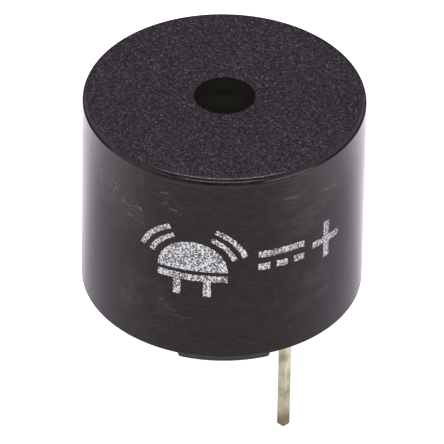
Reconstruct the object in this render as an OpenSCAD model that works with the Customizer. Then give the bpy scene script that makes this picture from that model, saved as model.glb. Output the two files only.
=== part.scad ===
// Magnetic buzzer with its own drive circuit, for through-hole mounting.
//
// A moulded case with a sound hole stands on a moulded base with four feet. Between them, from
// below: the circuit board, the iron yoke with its riveted pole, the two windings on the pole, the
// ring magnet round them, and the steel diaphragm that the magnet holds down on the support ring.
//
// Millimetres. The origin is the middle of the board plane that the feet stand on, +Z runs along
// the axis towards the sound hole, and the two pins lie on the X axis.

/* [Case] */
// Outside diameter of the case
case_d = 12; // [11:0.1:18]
// Height of the case, from its lower rim to its top face
case_h = 9.4; // [8:0.05:14]
// Thickness of the side wall beside the support ring
case_wall = 0.7; // [0.5:0.05:1.2]
// Thickness of the top wall
top_wall = 0.8; // [0.5:0.05:1.5]
// Round on the top outside edge
top_edge_round = 0.3; // [0.05:0.01:0.4]
// Round on the edge of the lower rim
rim_edge_round = 0.08; // [0.03:0.01:0.15]
// Diameter of the sound hole
sound_hole_d = 2.6; // [1:0.1:5]
// Round on the mouth of the sound hole
hole_edge_round = 0.06; // [0.02:0.01:0.2]
// Fillet between the side and the top inside the front chamber
chamber_fillet = 0.3; // [0.1:0.05:0.6]
// Air height between the diaphragm shoulder and the top wall
front_chamber_h = 1.6; // [0.6:0.05:3]
// Width of the shoulder that keeps the diaphragm in
shoulder_w = 0.45; // [0.3:0.05:0.8]
// Wall left beside the base, in the rebate at the lower rim
rebate_wall = 0.3; // [0.2:0.05:0.45]
// Height of that rebate
rebate_h = 1.3; // [0.8:0.05:2]

/* [Base] */
// Radial clearance between the base flange and the case
base_fit = 0.05; // [0.02:0.01:0.1]
// How far the underside of the base lies above the lower rim of the case
base_recess = 0.1; // [0:0.05:0.3]
// Thickness of the base floor
floor_t = 0.8; // [0.5:0.05:1.2]
// Depth of the tray above the floor, for the parts under the board
tray_depth = 1.25; // [1.1:0.05:2]
// Thickness of the tray wall
tray_wall = 0.6; // [0.4:0.05:1]
// Groove on the lower edge of the base, for the sealant
groove = 0.25; // [0.1:0.05:0.35]
// Diameter of the recess round the moulding gate, under the base
gate_d = 1.8; // [1:0.1:3]
// Depth of that recess
gate_depth = 0.15; // [0.05:0.05:0.3]

/* [Feet] */
// Height of the feet below the lower rim of the case
foot_h = 0.45; // [0.2:0.05:1]
// Radial width of a foot
foot_w = 0.9; // [0.5:0.05:1.5]
// Angle that a foot spans, in degrees
foot_span = 42; // [20:1:60]
// Angle between the pin line and the middle of a foot, in degrees
foot_angle = 45; // [40:1:50]
// Round on the lower edges of a foot
foot_round = 0.07; // [0.03:0.01:0.15]

/* [Pins] */
// Distance between the two pins
pin_pitch = 7.6; // [6:0.1:8]
// Side of the square pin
pin_w = 0.4; // [0.3:0.01:0.7]
// Length of the positive pin below the feet
pin_reach = 5.75; // [3:0.05:10]
// How much shorter the negative pin is, to tell the poles apart
negative_pin_cut = 1.5; // [0:0.1:2.5]
// Chamfer on the tip of a pin
pin_chamfer = 0.05; // [0.02:0.01:0.12]
// Width of the collar that rests on the base floor
collar_w = 0.75; // [0.5:0.05:1]
// Thickness of that collar
collar_t = 0.25; // [0.15:0.05:0.5]
// How far a pin stands above the circuit board
pin_above_board = 0.5; // [0.3:0.05:0.7]
// Clearance on each side of a pin in the base
pin_fit = 0.02; // [0.01:0.01:0.05]
// Diameter of the boss round a pin, under the base
boss_d = 1.3; // [1:0.1:2]
// Height of that boss, which stays above the board plane
boss_h = 0.2; // [0.1:0.05:0.3]

/* [Circuit board] */
// Thickness of the board
board_t = 0.6; // [0.4:0.1:1]
// Radial clearance between the board and the case
board_fit = 0.15; // [0.05:0.05:0.3]
// Thickness of the copper
copper_t = 0.035; // [0.035:0.005:0.07]
// Clearance between a pin's corner and its hole in the board
pin_hole_fit = 0.06; // [0.03:0.01:0.15]
// Diameter of the copper ring round a pin
pin_pad_d = 1.3; // [1:0.1:1.5]
// Diameter of the pad for a coil lead
lead_pad_d = 0.9; // [0.6:0.1:1]
// Height of the solder round a pin
pin_solder_h = 0.4; // [0.2:0.05:0.45]
// Thickness of the solder left under each chip, leg and tab
joint_t = 0.03; // [0.02:0.01:0.08]

/* [Drive parts] */
// Thickness of the yoke plate
yoke_t = 0.8; // [0.5:0.05:1.2]
// Radial clearance between the yoke and the support ring
yoke_fit = 0.05; // [0.02:0.01:0.1]
// Diameter of the clearance holes in the yoke, over the pins
yoke_hole_d = 1.7; // [1.4:0.1:1.8]
// Diameter of the holes in the yoke that the coil leads pass through
lead_hole_d = 1.2; // [1:0.1:1.4]
// Diameter of the pole
pole_d = 2; // [1.4:0.1:3]
// Round on the top edge of the pole
pole_round = 0.1; // [0.05:0.05:0.2]
// Diameter of the riveted end of the pole
rivet_d = 1.4; // [1:0.1:1.8]
// Radial clearance of the riveted end in the yoke
rivet_fit = 0.01; // [0.01:0.01:0.03]
// Air gap between the pole and the diaphragm
air_gap = 0.4; // [0.2:0.05:0.6]
// How far the top of the magnet lies below the top of the pole
magnet_drop = 0.25; // [0.1:0.05:0.6]
// Radial thickness of the magnet
magnet_w = 1.2; // [0.8:0.05:2]
// Clearance between the magnet and the support ring
magnet_fit = 0.05; // [0.02:0.01:0.1]
// Chamfer on the edges of the magnet
magnet_chamfer = 0.1; // [0.05:0.05:0.2]
// How far the windings end below the top of the pole
coil_drop = 0.45; // [0.3:0.05:1]
// Clearance between the pole and the windings, and between the two windings
winding_fit = 0.03; // [0.01:0.01:0.06]
// Radial thickness of the sense winding
sense_winding_w = 0.5; // [0.3:0.05:0.8]
// Air between the windings and the magnet
coil_gap = 0.55; // [0.3:0.05:1]
// Round on the edges of a winding
winding_round = 0.15; // [0.05:0.05:0.2]
// Diameter of the enamelled wire of the leads
lead_d = 0.1; // [0.08:0.01:0.15]
// Radius of the bend in a lead, to the middle of the wire
lead_bend_r = 0.2; // [0.15:0.05:0.3]

/* [Sounding parts] */
// Radial clearance between the support ring and the case
ring_fit = 0.08; // [0.03:0.01:0.15]
// Radial thickness of the support ring beside the magnet
ring_w = 0.62; // [0.5:0.02:1]
// Height of the lip that the support ring turns in over the magnet
ring_lip_h = 0.5; // [0.3:0.05:1]
// How far that lip reaches in over the magnet
ring_lip_w = 0.3; // [0.1:0.05:0.5]
// Thickness of the wall round the diaphragm
seat_wall = 0.17; // [0.1:0.01:0.3]
// Height of that wall above the diaphragm
seat_wall_h = 0.1; // [0.05:0.01:0.2]
// Clearance between the support ring and the shoulder in the case
seat_play = 0.05; // [0.02:0.01:0.1]
// Thickness of the diaphragm
diaphragm_t = 0.06; // [0.04:0.01:0.12]
// Clearance round the diaphragm
diaphragm_fit = 0.06; // [0.03:0.01:0.15]
// Diameter of the armature disc
armature_d = 3.2; // [2.5:0.1:5]
// Thickness of the armature disc
armature_t = 0.3; // [0.2:0.05:0.5]

/* [Board parts] */
// Length, width and height of the transistor body
transistor_size = [2.9, 1.3, 0.95]; // [0.5:0.05:3.2]
// Distance of the transistor from the axis
transistor_y = 1.9; // [1.7:0.1:2.2]
// Length, width and height of the resistor
resistor_size = [1.6, 0.8, 0.45]; // [0.3:0.05:2]
// Length, width and height of the capacitor
capacitor_size = [1.6, 0.8, 0.8]; // [0.3:0.05:2]
// Distance of each of these two from the Y axis
chip_x = 1.6; // [1.3:0.1:1.9]
// Distance of each of these two from the X axis
chip_y = 1.45; // [1.2:0.1:1.7]
// Length, width and height of the diode body
diode_size = [1.7, 1.25, 0.9]; // [0.5:0.05:2.2]
// Distance of the diode from the axis
diode_y = 3; // [2.9:0.1:3.5]
// Thickness of the legs and tabs
leg_t = 0.12; // [0.1:0.01:0.2]
// Width of the legs
leg_w = 0.4; // [0.3:0.05:0.5]

/* [Hidden] */

$fn = 96;

// A cutter reaches this far past the face it cuts
over = 0.5;

// Radii, from the outside in
case_r = case_d / 2;
rebate_r = case_r - rebate_wall;
bore_r = case_r - case_wall;
chamber_r = bore_r - shoulder_w;
flange_r = rebate_r - base_fit;
board_r = bore_r - board_fit;
ring_r = bore_r - ring_fit;
magnet_outer_r = ring_r - ring_w - magnet_fit;
magnet_inner_r = magnet_outer_r - magnet_w;
yoke_r = magnet_outer_r + magnet_fit + ring_w / 2;
seat_r = ring_r - seat_wall;
sense_outer_r = magnet_inner_r - coil_gap;
sense_inner_r = sense_outer_r - sense_winding_w;
drive_outer_r = sense_inner_r - winding_fit;
drive_inner_r = pole_d / 2 + winding_fit;
pin_r = pin_pitch / 2;

// The tray wall gives way where the copper rings round the pins come near it
ring_clearance = 0.05;
tray_r = max(board_r - tray_wall, pin_r + pin_pad_d / 2 + ring_clearance);

// Heights above the board plane, from the bottom up
rim_z = foot_h;
base_z = rim_z + base_recess;
floor_z = base_z + floor_t;
ledge_z = rim_z + rebate_h;
board_z = floor_z + tray_depth;
board_top_z = board_z + board_t;
yoke_top_z = board_top_z + yoke_t;
top_z = rim_z + case_h;
ceiling_z = top_z - top_wall;
shoulder_z = ceiling_z - front_chamber_h;
ring_top_z = shoulder_z - seat_play;
diaphragm_top_z = ring_top_z - seat_wall_h;
seat_z = diaphragm_top_z - diaphragm_t;
pole_top_z = seat_z - air_gap;
magnet_top_z = pole_top_z - magnet_drop;
coil_top_z = pole_top_z - coil_drop;
pin_top_z = board_top_z + pin_above_board;

// How far a pad reaches past what is soldered to it
pad_margin = 0.1;

// The coil leads leave the windings near their outside, and their pads lie a little further out
lead_inset = 0.2;
lead_step = 0.3;
lead_r = sense_outer_r - lead_inset;
lead_pad_r = lead_r + lead_step;
pad_top_z = board_top_z + copper_t;
lead_dome_r = lead_pad_d / 2 - pad_margin;

// Directions of the leads, counted from the pin line: common, drive and sense
COMMON_ANGLE = 45;
DRIVE_ANGLE = 90;
SENSE_ANGLE = -90;
LEAD_ANGLES = [COMMON_ANGLE, DRIVE_ANGLE, SENSE_ANGLE];

// Top of the cone of solder round a pin, which clears the pin's corners
solder_top_d = 1.6 * pin_w;

// The parts under the board stand on solder on the copper, their bodies a little higher
leg_z = copper_t + joint_t;
body_lift = 0.06;

// Moulded bodies: draft as a share of the width, widest place as a share of the height
draft_share = 0.06;
waist_share = 0.45;

// Reach of the legs and tabs from the bodies, and distance of the two inner legs from the middle
leg_reach = 0.55;
tab_reach = 0.4;
leg_spread = 0.95;

// Plated ends of the chips: length, and how far they stand proud
end_cap = 0.3;
cap_step = 0.03;

// Places of the joints under the board, from the middle of each part
transistor_leg_y = transistor_size[1] / 2 + leg_reach - leg_w / 2;
diode_tab_x = diode_size[0] / 2 + tab_reach / 2;
resistor_end = (resistor_size[0] - end_cap) / 2;
capacitor_end = (capacitor_size[0] - end_cap) / 2;

PLASTIC_BLACK = [0.16, 0.15, 0.16];
BASE_BLACK = [0.12, 0.12, 0.12];
RESIN = [0.2, 0.18, 0.15];
TIN = [0.78, 0.75, 0.66];
SOLDER = [0.72, 0.73, 0.74];
COPPER = [0.8, 0.48, 0.25];

// ---------------------------------------------------------------- shared shapes

// Region between a corner and the arc that rounds it: the corner points to +X +Y
module corner_cut(r) {
    difference() {
        square(r + over);
        circle(r);
    }
}

// A square ring section whose four corners are rounded, from r1 to r2 and z1 to z2
module round_section(r1, r2, z1, z2, r) {
    difference() {
        translate([r1, z1])
            square([r2 - r1, z2 - z1]);
        for (side = [[r1 + r, -1], [r2 - r, 1]], end = [[z1 + r, -1], [z2 - r, 1]])
            translate([side[0], end[0]])
                mirror([side[1] < 0 ? 1 : 0, 0])
                    mirror([0, end[1] < 0 ? 1 : 0])
                        corner_cut(r);
    }
}

// A box that stands on z = 0, centred on the axis
module standing_box(size) {
    translate([-size[0] / 2, -size[1] / 2, 0])
        cube(size);
}

// Turns a part over and hangs it under the board
module under_board(x, y, angle = 0) {
    translate([x, y, board_z])
        rotate([0, 0, angle])
            mirror([0, 0, 1])
                children();
}

// Both pins, or a hole for each: one at +X and one at -X
module at_both_pins() {
    for (side = [1, -1])
        translate([side * pin_r, 0, 0])
            children();
}

// What belongs to the three coil leads, turned into their directions
module at_leads() {
    for (angle = LEAD_ANGLES)
        rotate(angle)
            translate([lead_pad_r, 0, 0])
                children();
}

// The four feet lie symmetrically about both axes
module at_feet() {
    for (angle = [foot_angle, 180 - foot_angle, 180 + foot_angle, -foot_angle])
        rotate([0, 0, angle - foot_span / 2])
            children();
}

// ---------------------------------------------------------------- case and base

module case_outline() {
    difference() {
        translate([0, rim_z])
            square([case_r, case_h]);
        translate([case_r - top_edge_round, top_z - top_edge_round])
            corner_cut(top_edge_round);
        translate([case_r - rim_edge_round, rim_z + rim_edge_round])
            mirror([0, 1])
                corner_cut(rim_edge_round);
    }
}

// Everything that is hollow, from the rebate at the rim to the sound hole
module case_hollow() {
    square([rebate_r, ledge_z]);
    translate([0, rim_z])
        square([bore_r, shoulder_z - rim_z]);
    difference() {
        square([chamber_r, ceiling_z]);
        translate([chamber_r - chamber_fillet, ceiling_z - chamber_fillet])
            corner_cut(chamber_fillet);
    }
    square([sound_hole_d / 2, top_z + over]);
    difference() {
        translate([0, top_z - hole_edge_round])
            square([sound_hole_d / 2 + hole_edge_round, hole_edge_round + over]);
        translate([sound_hole_d / 2 + hole_edge_round, top_z - hole_edge_round])
            circle(hole_edge_round);
    }
}

module case() {
    color(PLASTIC_BLACK)
        rotate_extrude()
            difference() {
                case_outline();
                case_hollow();
            }
}

module base_section() {
    difference() {
        union() {
            translate([0, base_z])
                square([flange_r, ledge_z - base_z]);
            translate([0, base_z])
                square([board_r, board_z - base_z]);
        }
        translate([0, floor_z])
            square([tray_r, tray_depth + over]);
        polygon([
            [flange_r - groove - over, base_z - over],
            [flange_r + over, base_z - over],
            [flange_r + over, base_z + groove + over]
        ]);
    }
}

module foot_section() {
    difference() {
        translate([flange_r - foot_w, 0])
            square([foot_w, base_z + groove]);
        translate([flange_r - foot_round, foot_round])
            mirror([0, 1])
                corner_cut(foot_round);
        translate([flange_r - foot_w + foot_round, foot_round])
            mirror([1, 0])
                mirror([0, 1])
                    corner_cut(foot_round);
    }
}

module base_plate() {
    color(BASE_BLACK)
        difference() {
            union() {
                rotate_extrude()
                    base_section();
                at_feet()
                    rotate_extrude(angle = foot_span)
                        foot_section();
                at_both_pins()
                    translate([0, 0, base_z - boss_h])
                        cylinder(d = boss_d, h = boss_h + floor_t / 2);
            }
            at_both_pins()
                translate([0, 0, -over])
                    standing_box([pin_w + 2 * pin_fit, pin_w + 2 * pin_fit, floor_z + 2 * over]);
            translate([0, 0, base_z - over])
                cylinder(d = gate_d, h = over + gate_depth);
        }
}

// Resin in the groove between base and case; the feet interrupt it
module edge_sealant() {
    color(RESIN)
        difference() {
            rotate_extrude()
                polygon([
                    [flange_r - groove, base_z],
                    [rebate_r, base_z],
                    [rebate_r, base_z + groove],
                    [flange_r, base_z + groove]
                ]);
            at_feet()
                rotate_extrude(angle = foot_span)
                    translate([flange_r - foot_w, 0])
                        square([foot_w + rebate_wall, base_z + groove + over]);
        }
}

// ---------------------------------------------------------------- pins

// Side view of a pin's shank, with its tip chamfered
module pin_side(reach) {
    polygon([
        [-pin_w / 2 + pin_chamfer, -reach],
        [pin_w / 2 - pin_chamfer, -reach],
        [pin_w / 2, -reach + pin_chamfer],
        [pin_w / 2, pin_top_z],
        [-pin_w / 2, pin_top_z],
        [-pin_w / 2, -reach + pin_chamfer]
    ]);
}

// A square pin chamfered on all four sides of its tip, with the collar that stops it at the floor
module square_pin(reach) {
    intersection_for (angle = [0, 90])
        rotate([90, 0, angle])
            linear_extrude(2 * pin_w, center = true)
                pin_side(reach);
    translate([0, 0, floor_z])
        standing_box([collar_w, collar_w, collar_t]);
}

module positive_pin() {
    color(TIN)
        translate([pin_r, 0, 0])
            square_pin(pin_reach);
}

module negative_pin() {
    color(TIN)
        translate([-pin_r, 0, 0])
            square_pin(pin_reach - negative_pin_cut);
}

// ---------------------------------------------------------------- circuit board

module board_hole() {
    circle(r = pin_w * sqrt(2) / 2 + pin_hole_fit);
}

module circuit_board() {
    color([0.12, 0.34, 0.16])
        translate([0, 0, board_z])
            linear_extrude(board_t)
                difference() {
                    circle(board_r);
                    at_both_pins()
                        board_hole();
                }
}

// Copper rings round the pins, the same on both faces
module pin_rings() {
    at_both_pins()
        difference() {
            circle(d = pin_pad_d);
            board_hole();
        }
}

module copper_above() {
    pin_rings();
    at_leads()
        circle(d = lead_pad_d);
}

// Rectangle under one leg, tab or chip end, as far past it as the margin says
module joint(x, y, size, margin) {
    translate([x, y])
        square([size[0] + 2 * margin, size[1] + 2 * margin], center = true);
}

// All the places under the board where a leg, a tab or a chip end is soldered
module joints_below(margin) {
    for (side = [1, -1]) {
        joint(side * leg_spread, transistor_y - transistor_leg_y, [leg_w, leg_w], margin);
        joint(-chip_x, -chip_y + side * resistor_end, [resistor_size[1], end_cap], margin);
        joint(chip_x, -chip_y + side * capacitor_end, [capacitor_size[1], end_cap], margin);
        joint(side * diode_tab_x, -diode_y, [leg_w, leg_w], margin);
    }
    joint(0, transistor_y + transistor_leg_y, [leg_w, leg_w], margin);
}

module copper_below() {
    pin_rings();
    joints_below(pad_margin);
}

module board_copper() {
    color(COPPER) {
        translate([0, 0, board_top_z])
            linear_extrude(copper_t)
                copper_above();
        translate([0, 0, board_z - copper_t])
            linear_extrude(copper_t)
                copper_below();
    }
}

// Cone of solder round a pin, on the copper
module pin_solder() {
    translate([0, 0, pad_top_z])
        difference() {
            cylinder(d1 = pin_pad_d, d2 = solder_top_d, h = pin_solder_h);
            translate([0, 0, -over])
                standing_box([pin_w, pin_w, pin_solder_h + 2 * over]);
        }
}

module positive_pin_solder() {
    color(SOLDER)
        translate([pin_r, 0, 0])
            pin_solder();
}

module negative_pin_solder() {
    color(SOLDER)
        translate([-pin_r, 0, 0])
            pin_solder();
}

// ---------------------------------------------------------------- parts under the board

// Moulded body with drafted sides: its section is drawn across its width
module moulded_body(size) {
    draft = draft_share * size[1];
    rotate([90, 0, 90])
        linear_extrude(size[0], center = true)
            polygon([
                [-size[1] / 2 + draft, 0],
                [size[1] / 2 - draft, 0],
                [size[1] / 2, waist_share * size[2]],
                [size[1] / 2 - draft, size[2]],
                [-size[1] / 2 + draft, size[2]],
                [-size[1] / 2, waist_share * size[2]]
            ]);
}

// Side view of a leg that leaves a body at half its height and steps down to a flat foot
module leg_side(reach, foot, height) {
    bend = reach - foot;
    polygon([
        [0, height],
        [bend, height],
        [bend, leg_t],
        [reach, leg_t],
        [reach, 0],
        [bend - leg_t, 0],
        [bend - leg_t, height - leg_t],
        [0, height - leg_t]
    ]);
}

// One leg pointing to +Y, its root on the body's side face
module leg(root_y, reach, foot, width, height) {
    translate([0, root_y, leg_z])
        rotate([90, 0, 90])
            linear_extrude(width, center = true)
                leg_side(reach, foot, height);
}

module transistor() {
    color([0.1, 0.1, 0.11])
        under_board(0, transistor_y)
            translate([0, 0, leg_z + body_lift])
                moulded_body(transistor_size);
}

// Legs come out where a body is widest: height of their upper face above their feet
function leg_height(size) = body_lift + waist_share * size[2] + leg_t / 2;

module transistor_legs() {
    height = leg_height(transistor_size);
    color(TIN)
        under_board(0, transistor_y)
            difference() {
                union() {
                    leg(transistor_size[1] / 2 - leg_t, leg_reach + leg_t, leg_w, leg_w, height);
                    for (side = [1, -1])
                        translate([side * leg_spread, 0, 0])
                            mirror([0, 1, 0])
                                leg(transistor_size[1] / 2 - leg_t, leg_reach + leg_t, leg_w, leg_w,
                                    height);
                }
                translate([0, 0, leg_z + body_lift])
                    moulded_body(transistor_size);
            }
}

// Ceramic chip with plated ends that stand a little proud
module chip(size) {
    translate([0, 0, leg_z]) {
        translate([0, 0, cap_step])
            standing_box([size[0] - end_cap, size[1] - 2 * cap_step, size[2] - 2 * cap_step]);
        for (side = [1, -1])
            translate([side * (size[0] - end_cap) / 2, 0, 0])
                standing_box([end_cap, size[1], size[2]]);
    }
}

module base_resistor() {
    color([0.2, 0.2, 0.22])
        under_board(-chip_x, -chip_y, 90)
            chip(resistor_size);
}

module timing_capacitor() {
    color([0.66, 0.52, 0.38])
        under_board(chip_x, -chip_y, 90)
            chip(capacitor_size);
}

module clamp_diode() {
    color([0.1, 0.1, 0.11])
        under_board(0, -diode_y, 90)
            translate([0, 0, leg_z + body_lift])
                moulded_body([diode_size[1], diode_size[0], diode_size[2]]);
}

module diode_tabs() {
    height = leg_height(diode_size);
    color(TIN)
        under_board(0, -diode_y, 90)
            difference() {
                for (side = [0, 180])
                    rotate([0, 0, side])
                        leg(diode_size[0] / 2 - leg_t, tab_reach + leg_t, tab_reach - leg_t, leg_w,
                            height);
                translate([0, 0, leg_z + body_lift])
                    moulded_body([diode_size[1], diode_size[0], diode_size[2]]);
            }
}

// Solder between the copper and each leg, tab and chip end
module chip_solder() {
    color(SOLDER)
        translate([0, 0, board_z - leg_z])
            linear_extrude(joint_t)
                joints_below(0);
}

// ---------------------------------------------------------------- magnetic drive

// Clearance over the pin joints, and a hole for each of the three coil leads
module yoke_openings() {
    at_both_pins()
        circle(d = yoke_hole_d);
    at_leads()
        circle(d = lead_hole_d);
}

module yoke_plate() {
    color([0.62, 0.62, 0.64])
        translate([0, 0, board_top_z])
            linear_extrude(yoke_t)
                difference() {
                    circle(yoke_r);
                    circle(rivet_d / 2 + rivet_fit);
                    yoke_openings();
                }
}

module pole_core() {
    color([0.55, 0.55, 0.57])
        rotate_extrude()
            difference() {
                union() {
                    translate([0, board_top_z])
                        square([rivet_d / 2, yoke_t]);
                    translate([0, yoke_top_z])
                        square([pole_d / 2, pole_top_z - yoke_top_z]);
                }
                translate([pole_d / 2 - pole_round, pole_top_z - pole_round])
                    corner_cut(pole_round);
            }
}

module drive_coil() {
    color([0.72, 0.36, 0.16])
        rotate_extrude()
            round_section(drive_inner_r, drive_outer_r, yoke_top_z, coil_top_z, winding_round);
}

module sense_coil() {
    color([0.62, 0.3, 0.14])
        rotate_extrude()
            round_section(sense_inner_r, sense_outer_r, yoke_top_z, coil_top_z, winding_round);
}

// Round wire from under the windings: it drops into a hole of the yoke, then bends to its pad
module lead_wire(angle) {
    drop = yoke_t / 2;
    fall = yoke_top_z - drop - (pad_top_z + lead_d);
    turn = atan2(lead_step, fall);
    cut_back = lead_bend_r * tan(turn / 2);
    rotate([0, 0, angle])
        translate([lead_r, 0, yoke_top_z - drop]) {
            translate([0, 0, cut_back])
                cylinder(d = lead_d, h = drop - cut_back);
            translate([lead_bend_r, 0, cut_back])
                rotate([90, 0, 0])
                    rotate_extrude(angle = turn, start = 180)
                        translate([lead_bend_r, 0])
                            circle(d = lead_d);
            rotate([0, 180 - turn, 0])
                translate([0, 0, cut_back])
                    cylinder(d = lead_d, h = norm([lead_step, fall]) - cut_back);
        }
}

module common_lead() {
    color(COPPER)
        lead_wire(COMMON_ANGLE);
}

module drive_lead() {
    color(COPPER)
        lead_wire(DRIVE_ANGLE);
}

module sense_lead() {
    color(COPPER)
        lead_wire(SENSE_ANGLE);
}

// Dome of solder on the end of each lead
module lead_solder() {
    color(SOLDER)
        difference() {
            at_leads()
                translate([0, 0, pad_top_z])
                    rotate_extrude()
                        intersection() {
                            circle(lead_dome_r);
                            square(lead_dome_r);
                        }
            for (angle = LEAD_ANGLES)
                lead_wire(angle);
        }
}

module ring_magnet() {
    color([0.2, 0.2, 0.21])
        rotate_extrude()
            polygon([
                [magnet_inner_r, yoke_top_z],
                [magnet_outer_r - magnet_chamfer, yoke_top_z],
                [magnet_outer_r, yoke_top_z + magnet_chamfer],
                [magnet_outer_r, magnet_top_z - magnet_chamfer],
                [magnet_outer_r - magnet_chamfer, magnet_top_z],
                [magnet_inner_r + magnet_chamfer, magnet_top_z],
                [magnet_inner_r, magnet_top_z - magnet_chamfer]
            ]);
}

// ---------------------------------------------------------------- sounding parts

// The ring stands on the board, centres yoke and magnet, and turns in to carry the diaphragm
module support_ring() {
    lip_z = max(magnet_top_z + magnet_fit, seat_z - ring_lip_h);
    color([0.85, 0.84, 0.8])
        rotate_extrude()
            polygon([
                [yoke_r + yoke_fit, board_top_z],
                [ring_r, board_top_z],
                [ring_r, ring_top_z],
                [seat_r, ring_top_z],
                [seat_r, seat_z],
                [magnet_outer_r - ring_lip_w, seat_z],
                [magnet_outer_r - ring_lip_w, lip_z],
                [magnet_outer_r + magnet_fit, lip_z],
                [magnet_outer_r + magnet_fit, yoke_top_z + yoke_fit],
                [yoke_r + yoke_fit, yoke_top_z + yoke_fit]
            ]);
}

module diaphragm() {
    color([0.75, 0.76, 0.78])
        translate([0, 0, seat_z])
            cylinder(r = seat_r - diaphragm_fit, h = diaphragm_t);
}

module armature_disc() {
    color([0.66, 0.66, 0.68])
        translate([0, 0, diaphragm_top_z])
            cylinder(d = armature_d, h = armature_t);
}

case();
base_plate();
edge_sealant();
positive_pin();
negative_pin();
circuit_board();
board_copper();
positive_pin_solder();
negative_pin_solder();
transistor();
transistor_legs();
base_resistor();
timing_capacitor();
clamp_diode();
diode_tabs();
chip_solder();
yoke_plate();
pole_core();
drive_coil();
sense_coil();
common_lead();
drive_lead();
sense_lead();
lead_solder();
ring_magnet();
support_ring();
diaphragm();
armature_disc();
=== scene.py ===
import math
import random

import bmesh
import bpy
from mathutils import Matrix, Quaternion, Vector


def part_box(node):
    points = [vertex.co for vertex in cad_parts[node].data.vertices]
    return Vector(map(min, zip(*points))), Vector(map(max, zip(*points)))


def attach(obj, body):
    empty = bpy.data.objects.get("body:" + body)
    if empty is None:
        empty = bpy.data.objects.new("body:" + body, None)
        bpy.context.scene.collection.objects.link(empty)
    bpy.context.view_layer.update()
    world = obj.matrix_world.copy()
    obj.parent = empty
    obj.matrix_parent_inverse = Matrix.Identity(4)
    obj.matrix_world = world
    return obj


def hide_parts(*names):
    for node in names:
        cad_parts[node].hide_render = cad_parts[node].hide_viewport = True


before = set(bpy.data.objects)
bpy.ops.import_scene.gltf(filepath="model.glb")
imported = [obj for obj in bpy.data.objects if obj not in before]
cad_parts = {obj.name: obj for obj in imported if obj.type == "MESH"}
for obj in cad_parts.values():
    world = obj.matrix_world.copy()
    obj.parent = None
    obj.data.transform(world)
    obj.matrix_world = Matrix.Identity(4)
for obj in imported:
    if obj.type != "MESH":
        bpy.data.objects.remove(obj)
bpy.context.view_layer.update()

MM = 0.001

# ------------------------------------------------------------------ sizes, in metres

# From the frame
CASE_LOW, CASE_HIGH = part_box("case")
BOARD_LOW, BOARD_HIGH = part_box("circuit_board")
RING_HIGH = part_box("support_ring")[1]
SEAL_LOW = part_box("edge_sealant")[0]
TIP_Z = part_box("positive_pin")[0].z

CASE_R = CASE_HIGH.x
RIM_Z = CASE_LOW.z
TOP_Z = CASE_HIGH.z

# Case, whose bore and shoulder keep clear of the support ring
TOP_ROUND = 0.3 * MM
RIM_ROUND = 0.1 * MM
HOLE_R = 1.3 * MM
HOLE_ROUND = 0.06 * MM
CEILING_Z = TOP_Z - 0.8 * MM
CHAMBER_FILLET = 0.3 * MM
BORE_R = RING_HIGH.x + 0.08 * MM
CHAMBER_R = BORE_R - 0.45 * MM
SHOULDER_Z = RING_HIGH.z + 0.05 * MM
REBATE_R = CASE_R - 0.3 * MM
LEDGE_Z = RIM_Z + 1.3 * MM

# Base, with the shallow recess of the gate in its middle
FLANGE_R = REBATE_R - 0.05 * MM
UNDERSIDE_Z = SEAL_LOW.z
GROOVE = 0.25 * MM
TRAY_WALL = 0.6 * MM
FLOOR_Z = UNDERSIDE_Z + 0.8 * MM
GATE_R = 0.9 * MM
GATE_DEPTH = 0.15 * MM

# The base is drawn from a ring this small in its middle, which is then filled
MIDDLE_R = GATE_R * 0.1

# Feet: they stand on the outer rim of the base, and their ends are turned in by the taper
FOOT_W = 0.9 * MM
FOOT_SPAN = math.radians(45.2)
FOOT_ANGLE = math.radians(45)
FOOT_ANGLES = [FOOT_ANGLE + quarter * math.pi / 2 for quarter in range(4)]
FOOT_TAPER = math.radians(3)
FOOT_ROUND = 0.07 * MM

# Bosses round the pins
BOSS_R = 0.65 * MM
BOSS_H = 0.2 * MM
BOSS_FILLET = 0.06 * MM

# How far the resin in the groove sank in its middle when it set
RESIN_DIP = 0.06 * MM
RESIN_STEPS = 8

# Pins
PIN_W = 0.4 * MM
PIN_FIT = 0.02 * MM
PIN_ROUND = 0.03 * MM
PIN_CHAMFER = 0.06 * MM
COLLAR_W = 0.75 * MM
COLLAR_T = 0.25 * MM

# Printed marks: their film stands proud of the case and reaches into it a little
INK_PROUD = 0.008 * MM
INK_SUNK = 0.002 * MM
MARKS_LOW = 3 * MM
MARKS_HIGH = 8.5 * MM
MARKS_SPAN = math.radians(60)
MARK_LINE = 0.32 * MM

# The edge of the ink strays by up to this much, from step to step along it
RAGGED = 0.016 * MM
RAGGED_STEP = 0.07 * MM
RANDOM = random.Random(7)

# A stamp starts inside the wall of the case and reaches out through it
STAMP_R = CASE_R * 0.8
STAMP_REACH = CASE_R * 0.4

# Buzzer sign: a dome on a bar with two leads, and two bows of sound on each side, whose ends are
# in degrees
DOME_Z = 5.0 * MM
DOME_R = 1.5 * MM
DOME_BAR_Z = DOME_Z - 0.35 * MM
LEAD_X = 0.65 * MM
LEAD_Z = DOME_Z - 0.8 * MM
LEAD_TALL = 1.0 * MM
BOW_LINE = 0.22 * MM
BOW_RADII = (1.9 * MM, 2.35 * MM)
BOW_ENDS = ((20, 65), (115, 160))

# Direct-current sign: a bar over three dashes
SUPPLY_BAR_Z = 5.85 * MM
SUPPLY_BAR_W = 2.1 * MM
DASH_Z = 5.2 * MM
DASH_W = 0.5 * MM
DASH_PITCH = 0.8 * MM

# Plus sign: a bar with an arm above and below it
PLUS_Z = 5.5 * MM
PLUS_W = 1.5 * MM
ARM_Z = 0.55 * MM
ARM_TALL = 0.75 * MM

# Steps round the axis: fine for what shows, so that no facet does
FINE = 288
COARSE = 64

# Two points nearer than this are one
SAME = 0.0001 * MM

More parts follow.
